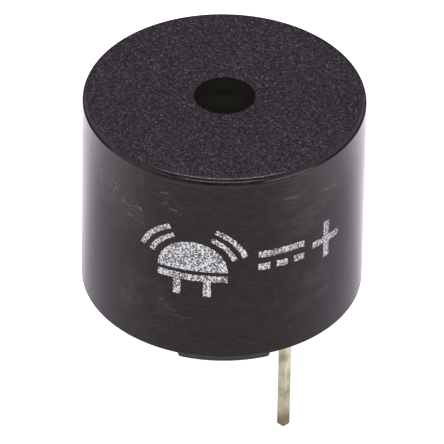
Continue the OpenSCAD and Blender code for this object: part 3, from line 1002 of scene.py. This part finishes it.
def make_base_plastic():
    """Black moulding of the base, a little duller than the case, with painted glints on its grain.
    """
    material, tree, shader, place = new_material("base_plastic")
    cloud = use(tree, CLOUD, place, Scale=350.0, Amount=0.3)["Shade"]
    grain = use(tree, GRAIN, place, Scale=5000.0, Flecks=0.2)
    marks = use(tree, NICKS, place, Length=900.0, Width=900.0, Share=0.15)["Mask"]
    colour = shaded(tree, BASE_BLACK, cloud)
    # Painted glints: flecks of the grain painted lighter
    colour = mixed(tree, times(tree, grain["Fleck"], 0.3), colour, HAZE_AND_HIGHLIGHT)
    roughness = plus(tree, times(tree, marks, 0.1), 0.42)
    dress(tree, shader, colour, roughness, grain["Height"], depth=0.006 * MM)
    feed_named(tree, shader, {"Specular Tint": SPECULAR_TINT})
    return material


def make_sealing_resin():
    """Dark potting resin, glossy where it set and with tiny bubbles in it."""
    material, tree, shader, place = new_material("sealing_resin")
    cloud = use(tree, CLOUD, place, Scale=900.0, Amount=0.5)["Shade"]
    grain = use(tree, GRAIN, place, Scale=4000.0, Flecks=0.3)
    colour = shaded(tree, RESIN_BLACK, cloud)
    roughness = times(tree, cloud, 0.16)
    height = plus(tree, cloud, times(tree, grain["Fleck"], 0.15))
    dress(tree, shader, colour, roughness, height, depth=0.02 * MM)
    return material


def make_metal(name, light, dark, roughness, scale, run, coat=0.0, metallic=1.0, tarnished_and_shaded=None):
    """A metal whose tone is clouded, with fine lines that follow the way it was worked.

    Scale is that of its clouds, and run is that of its lines along X, Y and Z. Where a metal is
    darkened by tarnish and painted shade, two heights are given: where it is darkest, and where
    that fades out."""
    material, tree, shader, place = new_material(name)
    cloud = use(tree, CLOUD, place, Scale=scale, Amount=0.25)["Shade"]
    grain = use(tree, GRAIN, place, Scale=scale * 5, Flecks=0.2)
    lines = noise(tree, stretched(tree, place, run), 1.0)
    stain = noise(tree, place, scale * 0.6, detail=4.0, roughness=0.6)
    stain = spread(tree, stain, 0.4, 0.66)
    colour = shaded(tree, mixed(tree, stain, light, dark), cloud)
    # Darker towards the tip: partly tarnish, partly painted shade
    if tarnished_and_shaded:
        darkest, clean = tarnished_and_shaded
        tarnish_and_shade = spread(tree, apart(tree, place)[2], clean, darkest)
        colour = mixed(tree, times(tree, tarnish_and_shade, 0.8), colour, TARNISH_AND_SHADE)
    rough = plus(tree, times(tree, stain, 0.16), roughness)
    height = plus(tree, lines, times(tree, grain["Height"], 0.4))
    dress(tree, shader, colour, rough, height, depth=0.004 * MM)
    feed_named(tree, shader, {"Metallic": metallic, "Coat Weight": coat})
    return material


def make_marking_ink():
    """White pad-printed ink that lets specks of the black moulding through."""
    material, tree, shader, place = new_material("marking_ink")
    specks = noise(tree, place, 13000.0, detail=1.5, roughness=0.6)
    thin = noise(tree, place, 1800.0)
    edge = calc(tree, "SUBTRACT", 0.56, times(tree, thin, 0.2))
    cover = spread(tree, specks, edge, plus(tree, edge, 0.1))
    colour = mixed(tree, cover, INK_THIN, INK_WHITE)
    roughness = between(tree, cover, 0.35, 0.6)
    dress(tree, shader, colour, roughness, specks, depth=0.006 * MM)
    return material


# ------------------------------------------------------------------ materials of the inside

WEAVE_PITCH = 0.45 * MM
WIRE_PITCH = 0.1 * MM
DARK_LACQUER = (0.010, 0.075, 0.022)
LIGHT_LACQUER = (0.016, 0.105, 0.034)
CHIP_BLACK = (0.016, 0.016, 0.02)
CHIP_BROWN = (0.34, 0.22, 0.13)
CHIP_END = (0.55, 0.55, 0.53)
CHIP_EDGE = 0.005 * MM
CHIP_BODY = 1.0 * MM


def make_plastic(name, colour, fleck_colour, roughness):
    """A moulded or bonded material with fine grain and a few flecks."""
    material, tree, shader, place = new_material(name)
    cloud = use(tree, CLOUD, place, Scale=700.0, Amount=0.15)["Shade"]
    grain = use(tree, GRAIN, place, Scale=7000.0, Flecks=0.35)
    tint = mixed(tree, times(tree, grain["Fleck"], 0.6), colour, fleck_colour)
    rough = times(tree, cloud, roughness)
    dress(tree, shader, shaded(tree, tint, cloud), rough, grain["Height"], depth=0.006 * MM)
    return material


def make_laminate():
    """Green lacquer over woven glass: the weave shows as a fine chequer of light and dark."""
    material, tree, shader, place = new_material("board_laminate")
    x, y, _ = apart(tree, place)
    pitch = 2 * math.pi / WEAVE_PITCH
    warp = calc(tree, "SINE", times(tree, x, pitch))
    weft = calc(tree, "SINE", times(tree, y, pitch))
    weave = spread(tree, times(tree, warp, weft), -1.0, 1.0)
    cloud = use(tree, CLOUD, place, Scale=600.0, Amount=0.2)["Shade"]
    tint = mixed(tree, weave, DARK_LACQUER, LIGHT_LACQUER)
    rough = times(tree, cloud, 0.32)
    dress(tree, shader, shaded(tree, tint, cloud), rough, weave, depth=0.006 * MM)
    return material


def make_chip_ceramic(name, node, body):
    """A small ceramic part: the colour of its body, and tinned ends past the body along Y."""
    material, tree, shader, place = new_material(name)
    low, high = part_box(node)
    middle = (low.y + high.y) / 2
    cloud = use(tree, CLOUD, place, Scale=1500.0, Amount=0.2)["Shade"]
    grain = use(tree, GRAIN, place, Scale=9000.0, Flecks=0.2)
    off = off_middle(tree, apart(tree, place)[1], middle)
    ends = spread(tree, off, CHIP_BODY / 2 - CHIP_EDGE, CHIP_BODY / 2 + CHIP_EDGE)
    tint = mixed(tree, ends, body, CHIP_END)
    rough = between(tree, ends, times(tree, cloud, 0.3), 0.35)
    dress(tree, shader, shaded(tree, tint, cloud), rough, grain["Height"], depth=0.003 * MM)
    feed_named(tree, shader, {"Metallic": ends})
    return material


def make_winding(name, light, dark):
    """Enamelled copper laid turn by turn: the turns show on the side and on both ends, with painted
    shade in the hollows between them.
    """
    material, tree, shader, place = new_material(name)
    pitch = 2 * math.pi / WIRE_PITCH
    layers = calc(tree, "COSINE", times(tree, from_axis(tree, place), pitch))
    turns = calc(tree, "COSINE", times(tree, apart(tree, place)[2], pitch))
    height = plus(tree, layers, turns)
    cloud = use(tree, CLOUD, place, Scale=900.0, Amount=0.2)["Shade"]
    # Painted shade: the hollows between the turns are painted darker than their crests
    tint = mixed(tree, spread(tree, height, -1.2, 1.6), dark, light)
    rough = times(tree, cloud, 0.3)
    dress(tree, shader, shaded(tree, tint, cloud), rough, height, depth=0.015 * MM)
    feed_named(tree, shader, {"Metallic": 0.85, "Coat Weight": 0.4})
    return material


# ------------------------------------------------------------------ stage, lights and camera

WHITE = (1, 1, 1)
PAPER = (0.86, 0.86, 0.86)
STUDIO_TINT = (0.99, 0.89, 1.02)
FRONT_TINT = (0.98, 0.885, 0.86)


def shader_of(tree, kind, **values):
    """The shader that a new node puts out, from its kind and its values."""
    node = tree.nodes.new("ShaderNode" + kind)
    feed_named(tree, node, values)
    return node.outputs[0]


def either(tree, factor, first, second):
    """One shader or another, by a factor."""
    node = tree.nodes.new("ShaderNodeMixShader")
    feed(tree, node.inputs, (factor, first, second))
    return node.outputs[0]


def boards_strength(tree, ahead, right, level):
    """What a gloss sees of two low boards, the bright one on the right and a duller one left.

    Takes how far a direction points to the middle between them, how far it points right, and
    how much of their full strength shows."""
    across = times(tree, spread(tree, ahead, 0.08, 0.3), spread(tree, ahead, 0.8, 0.7))
    full = spread(tree, right, -0.5, 0.5, 1.5, 4.4)
    return times(tree, across, between(tree, level, 0.95, full))


def floor_gloss(tree, place):
    """Tint and strength of the floor as a gloss sees it.

    The paper is lit round the object: dim under it, brighter behind it than in front, and
    brighter again outside a ring. Further out it is dull, but for the two boards that stand on
    it. Its tint turns warmer towards the camera."""
    away = from_axis(tree, place)
    forward = along(tree, place, FRONT)
    ahead = along(tree, place, BOARDS_FACE)
    tint = mixed(tree, spread(tree, forward, 2 * MM, 12 * MM), STUDIO_TINT, FRONT_TINT)
    behind = spread(tree, forward, -14 * MM, -4 * MM, 1.7, 1.08)
    near = between(tree, spread(tree, away, 9 * MM, 11.5 * MM), 1.2, behind)
    near = times(tree, near, spread(tree, away, 5.5 * MM, 7.5 * MM, 0.62, 1.0))
    ring = spread(tree, ahead, 8 * MM, 20 * MM, 0.75, 0.12)
    ring = times(tree, spread(tree, away, 21 * MM, 24.5 * MM), ring)
    dull = spread(tree, from_point(tree, place, FRONT * 60 * MM), 60 * MM, 100 * MM, 0.35, 0.08)
    boards = boards_strength(
        tree, calc(tree, "DIVIDE", ahead, away),
        calc(tree, "DIVIDE", along(tree, place, CAMERA_RIGHT), away),
        spread(tree, away, 54 * MM, 66 * MM),
    )
    beyond = spread(tree, from_point(tree, place, FRONT * 8 * MM), 37 * MM, 46 * MM)
    far = calc(tree, "MAXIMUM", dull, boards)
    return tint, between(tree, beyond, plus(tree, near, ring), far)


def make_floor():
    """A plain pale floor under the tip of the long pin: white to the camera, but for the shadow.

    Seen from below it is clear."""
    put_down()
    bpy.ops.mesh.primitive_plane_add(size=1.6, location=(0, 0, TIP_Z))
    floor = named("floor")
    material, tree, paper, place = new_material("studio_floor")
    feed_named(tree, paper, {"Base Color": PAPER, "Roughness": 0.9, "Specular IOR Level": 0.0})
    lit = tree.nodes.new("ShaderNodeAddShader")
    feed(tree, lit.inputs, (paper.outputs[0], shader_of(tree, "Emission", Strength=0.7)))
    tint, strength = floor_gloss(tree, place)
    sheen = shader_of(tree, "Emission", Color=tint, Strength=strength)
    path = tree.nodes.new("ShaderNodeLightPath").outputs
    mirrored = calc(tree, "MAXIMUM", path["Is Glossy Ray"], path["Is Transmission Ray"])
    seen = either(tree, path["Is Camera Ray"], paper.outputs[0], lit.outputs[0])
    above = either(tree, mirrored, seen, sheen)
    back = tree.nodes.new("ShaderNodeNewGeometry").outputs["Backfacing"]
    under = times(tree, back, path["Is Camera Ray"])
    sheet = either(tree, under, above, shader_of(tree, "BsdfTransparent"))
    feed_named(tree, tree.nodes["Material Output"], {"Surface": sheet})
    floor.data.materials.append(material)


def make_world():
    """An even studio: soft light all round, and plain white where the camera sees it.

    A gloss sees a dim room with a bright card on each side, and two low boards in front."""
    world = bpy.data.worlds.new("studio")
    bpy.context.scene.world = world
    world.use_nodes = True
    tree = world.node_tree
    soft = tree.nodes["Background"]
    feed_named(tree, soft, {"Color": WHITE, "Strength": 0.65})
    white = shader_of(tree, "Background", Color=WHITE, Strength=1.0)
    around = tree.nodes.new("ShaderNodeTexCoord").outputs["Generated"]
    up = apart(tree, around)[2]
    right = along(tree, around, CAMERA_RIGHT)
    aside = spread(tree, calc(tree, "ABSOLUTE", right), 0.5, 0.62)
    cards = times(tree, aside, spread(tree, up, -0.02, 0.12))
    boards = boards_strength(tree, along(tree, around, BOARDS_FACE), right, level=0.75)
    boards = times(tree, spread(tree, up, 0.2, 0.05), boards)
    strength = calc(tree, "MAXIMUM", boards, between(tree, cards, 0.35, 1.2))
    studio = shader_of(tree, "Background", Color=STUDIO_TINT, Strength=strength)
    path = tree.nodes.new("ShaderNodeLightPath").outputs
    mirrored = calc(tree, "MAXIMUM", path["Is Glossy Ray"], path["Is Transmission Ray"])
    room = either(tree, mirrored, soft.outputs[0], studio)
    both = either(tree, path["Is Camera Ray"], room, white)
    feed_named(tree, tree.nodes["World Output"], {"Surface": both})


def make_lamp(name, elevation, width, height, power, distance=0.6):
    """A softbox on the camera's side, which faces the object and doesn't show itself."""
    towards = direction(AZIMUTH, math.radians(elevation))
    light = bpy.data.lights.new(name, "AREA")
    light.shape = "RECTANGLE"
    light.size = width
    light.size_y = height
    light.energy = power
    lamp = bpy.data.objects.new(name, light)
    lamp.visible_camera = False
    lamp.location = towards * distance
    lamp.rotation_mode = "QUATERNION"
    lamp.rotation_quaternion = towards.to_track_quat("Z", "Y")
    bpy.context.scene.collection.objects.link(lamp)


def make_camera():
    """A long lens at the viewing angle, turned a little about its own axis."""
    distance = 0.35
    view_width = 18.92 * MM
    aim = Vector((-0.014 * MM, -0.013 * MM, 3.11 * MM))
    roll = math.radians(1)
    camera = bpy.data.cameras.new("camera")
    camera.sensor_width = 36
    camera.lens = camera.sensor_width * distance / view_width
    camera.clip_start = 0.01
    camera.clip_end = 10
    holder = bpy.data.objects.new("camera", camera)
    back = direction(AZIMUTH, ELEVATION)
    holder.location = aim + back * distance
    holder.rotation_mode = "QUATERNION"
    holder.rotation_quaternion = back.to_track_quat("Z", "Y") @ Quaternion((0, 0, 1), roll)
    bpy.context.scene.collection.objects.link(holder)
    bpy.context.scene.camera = holder


# ------------------------------------------------------------------ putting it together

def paint(piece, material):
    """A piece or a node of the frame gets one material."""
    piece.data.materials.clear()
    piece.data.materials.append(material)


case_plastic = make_case_plastic()
base_plastic = make_base_plastic()
sealing_resin = make_sealing_resin()
marking_ink = make_marking_ink()
# Tin pin, darker towards its tip: tarnish and painted shade
tinned_pin = make_metal(
    "tinned_pin", LIGHT_TIN, DARK_TIN, roughness=0.36, scale=2400.0, run=(9000, 9000, 400),
    tarnished_and_shaded=(TIP_Z, TIP_Z + 1.0 * MM),
)
copper_wire = make_metal(
    "enamelled_wire", LIGHT_COPPER, DARK_COPPER, roughness=0.25, scale=3000.0,
    run=(2000, 2000, 2000), coat=0.5,
)
solder = make_metal(
    "solder", LIGHT_SOLDER, DARK_SOLDER, roughness=0.2, scale=1500.0, run=(1500, 1500, 1500)
)
tinned_leg = make_metal(
    "tinned_leg", LIGHT_SOLDER, DARK_TIN, roughness=0.3, scale=3000.0, run=(9000, 900, 9000)
)
copper_foil = make_metal(
    "copper_foil", LIGHT_COPPER, DARK_COPPER, roughness=0.28, scale=2500.0, run=(6000, 500, 500)
)
yoke_iron = make_metal(
    "yoke_iron", LIGHT_IRON, DARK_IRON, roughness=0.32, scale=900.0, run=(9000, 500, 500)
)
pole_iron = make_metal(
    "pole_iron", LIGHT_IRON, DARK_IRON, roughness=0.28, scale=1200.0, run=(700, 700, 9000)
)
# Steel painted dark as painted shade, as it lies in the shade inside the case
diaphragm_steel = make_metal(
    "diaphragm_steel", LIGHT_SHADED_STEEL, DARK_SHADED_STEEL, roughness=0.6, scale=2500.0,
    run=(9000, 400, 400), metallic=0.3,
)
armature_iron = make_metal(
    "armature_iron", LIGHT_BLACKENED, DARK_BLACKENED, roughness=0.5, scale=1500.0,
    run=(3000, 3000, 3000),
)
chip_mould = make_plastic("chip_mould", (0.012, 0.012, 0.013), (0.07, 0.07, 0.07), 0.55)
ferrite = make_plastic("bonded_ferrite", (0.026, 0.026, 0.028), (0.12, 0.12, 0.13), 0.6)
ring_plastic = make_plastic("ring_plastic", (0.68, 0.65, 0.56), (0.5, 0.47, 0.4), 0.42)

NODE_MATERIALS = {
    "circuit_board": make_laminate(),
    "board_copper": copper_foil,
    "positive_pin_solder": solder,
    "negative_pin_solder": solder,
    "transistor": chip_mould,
    "transistor_legs": tinned_leg,
    "base_resistor": make_chip_ceramic("resistor_ceramic", "base_resistor", CHIP_BLACK),
    "timing_capacitor": make_chip_ceramic("capacitor_ceramic", "timing_capacitor", CHIP_BROWN),
    "clamp_diode": chip_mould,
    "diode_tabs": tinned_leg,
    "chip_solder": solder,
    "yoke_plate": yoke_iron,
    "pole_core": pole_iron,
    "drive_coil": make_winding("drive_winding", (0.80, 0.30, 0.10), (0.30, 0.09, 0.03)),
    "sense_coil": make_winding("sense_winding", (0.62, 0.20, 0.07), (0.22, 0.06, 0.02)),
    "common_lead": copper_wire,
    "drive_lead": copper_wire,
    "sense_lead": copper_wire,
    "lead_solder": solder,
    "ring_magnet": ferrite,
    "support_ring": ring_plastic,
    "diaphragm": diaphragm_steel,
    "armature_disc": armature_iron,
}
for node, material in NODE_MATERIALS.items():
    paint(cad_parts[node], material)

pieces = {
    make_case(): case_plastic,
    make_base(): base_plastic,
    make_sealant(): sealing_resin,
    make_pin("long_pin", "positive_pin"): tinned_pin,
    make_pin("short_pin", "negative_pin"): tinned_pin,
    make_buzzer_mark(): marking_ink,
    make_supply_mark(): marking_ink,
    make_plus_mark(): marking_ink,
}
for piece, material in pieces.items():
    paint(piece, material)
    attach(piece, "root")

make_floor()
make_world()
make_lamp("overhead_softbox", elevation=89, width=0.5, height=0.05, power=1.6)
make_lamp("front_softbox", elevation=36, width=0.6, height=0.12, power=1.45)
make_camera()
bpy.context.scene.view_settings.view_transform = "Standard"
